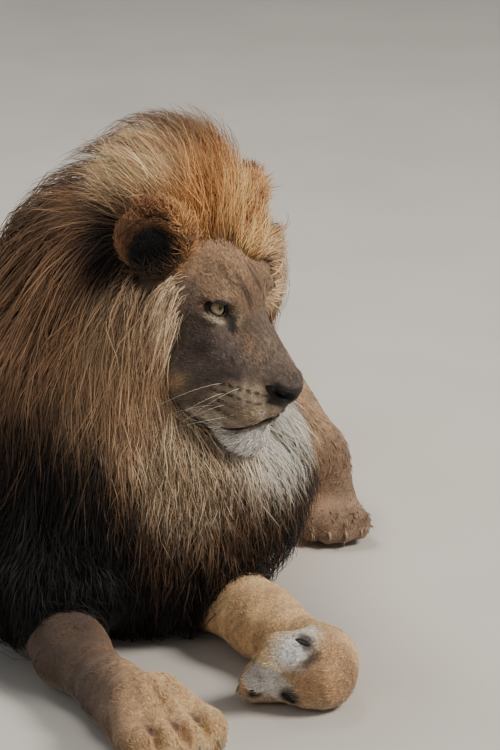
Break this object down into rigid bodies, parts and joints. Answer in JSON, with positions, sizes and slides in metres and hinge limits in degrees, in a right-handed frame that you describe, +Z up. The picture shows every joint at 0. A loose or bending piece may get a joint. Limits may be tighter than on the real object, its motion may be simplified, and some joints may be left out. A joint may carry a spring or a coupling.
{
  "type": "lion",
  "caption": "Life-size still model of an adult male lion lying on its chest with its head turned to its left, in natural coat and full mane.",
  "frame": {"origin": "middle of the bounding box, at the floor the lion lies on", "axes": "+Z up, the lion's body runs along Y with its forepaws toward -Y and its left side toward +X"},
  "size_m": [0.8186, 1.7552, 0.7704],
  "materials": {
    "body_fur": "short tawny fur",
    "face_fur": "very short grey-brown fur",
    "ear_fur": "short orange-brown fur, black inside",
    "mane_hair": "long coarse hair, orange-gold to light tan",
    "dark_hair": "long brown-black hair",
    "eye": "wet glossy eyeball, amber iris",
    "nose_leather": "bare black pebbled skin",
    "claw_horn": "smooth dark horn"
  },
  "bodies": {
    "root": {"head": "face_fur", "ear_left": "ear_fur", "ear_right": "ear_fur", "eye_left": "eye", "eye_right": "eye", "neck_mane": "mane_hair", "chest_mane": "dark_hair", "chest": "body_fur", "loin": "body_fur", "hips": "body_fur", "tail_base": "body_fur", "tail_middle": "body_fur", "tail_end": "body_fur", "tail_tuft": "dark_hair", "forearm_left": "body_fur", "forearm_right": "body_fur", "forepaw_left": "body_fur", "forepaw_right": "body_fur", "thigh_left": "body_fur", "thigh_right": "body_fur", "hindpaw_left": "body_fur", "hindpaw_right": "body_fur"}
  },
  "joints": []
}
